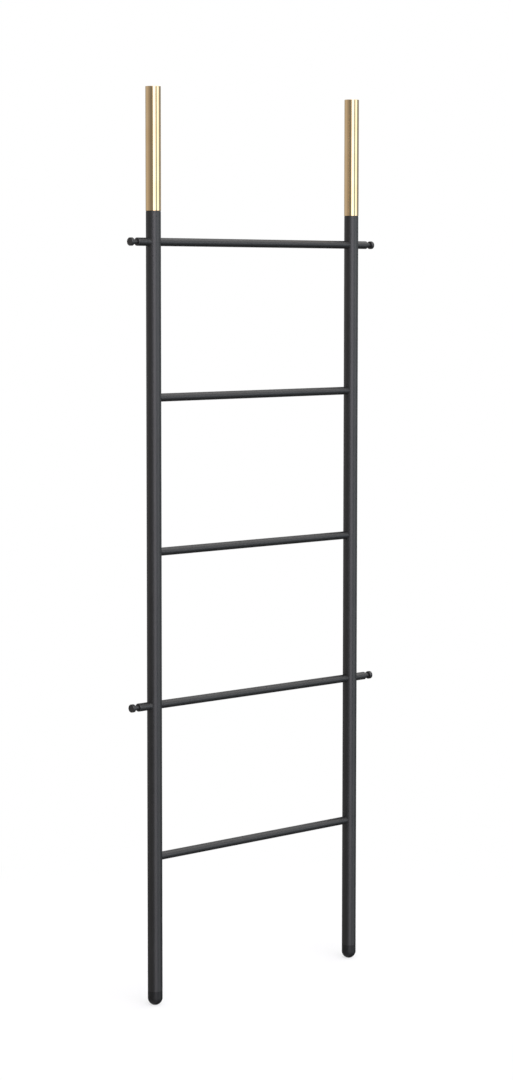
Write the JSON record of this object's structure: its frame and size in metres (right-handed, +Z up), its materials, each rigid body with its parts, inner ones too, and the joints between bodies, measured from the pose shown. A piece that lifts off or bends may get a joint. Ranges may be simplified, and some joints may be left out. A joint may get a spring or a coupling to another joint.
{
  "type": "towel ladder",
  "caption": "Leaning towel ladder: dark round tube rails with brass-coloured top ends and domed rubber feet, thin round rungs, and short grooved pegs outside the rails.",
  "frame": {"origin": "at the wall rest: midway between the back edges of the two brass tips at their tops, where the ladder leans on the wall", "axes": "+X along the rungs to the right, +Y towards the wall that it leans on, +Z up along the rails"},
  "size_m": [0.5996, 0.026, 1.56],
  "materials": {
    "black_coat": "satin black powder coat on steel",
    "brass": "polished and lacquered",
    "black_steel": "turned, black oxide",
    "plated_steel": "turned, zinc plated",
    "foot_rubber": "matt moulded"
  },
  "bodies": {
    "root": {"rail_left": "black_coat", "rail_right": "black_coat", "rung_1": "black_coat", "rung_2": "black_coat", "rung_3": "black_coat", "rung_4": "black_coat", "rung_5": "black_coat", "peg_top_left": "black_coat", "peg_top_right": "black_coat", "peg_low_left": "black_coat", "peg_low_right": "black_coat", "saddle_top_left": "black_coat", "saddle_top_right": "black_coat", "saddle_low_left": "black_coat", "saddle_low_right": "black_coat", "brass_tip_left": "brass", "brass_tip_right": "brass", "top_cap_left": "brass", "top_cap_right": "brass", "joint_spigot_left": "black_steel", "joint_spigot_right": "black_steel", "stud_top_left": "plated_steel", "stud_top_right": "plated_steel", "stud_low_left": "plated_steel", "stud_low_right": "plated_steel", "insert_top_left": "plated_steel", "insert_top_right": "plated_steel", "insert_low_left": "plated_steel", "insert_low_right": "plated_steel", "foot_left": "foot_rubber", "foot_right": "foot_rubber"}
  },
  "joints": []
}
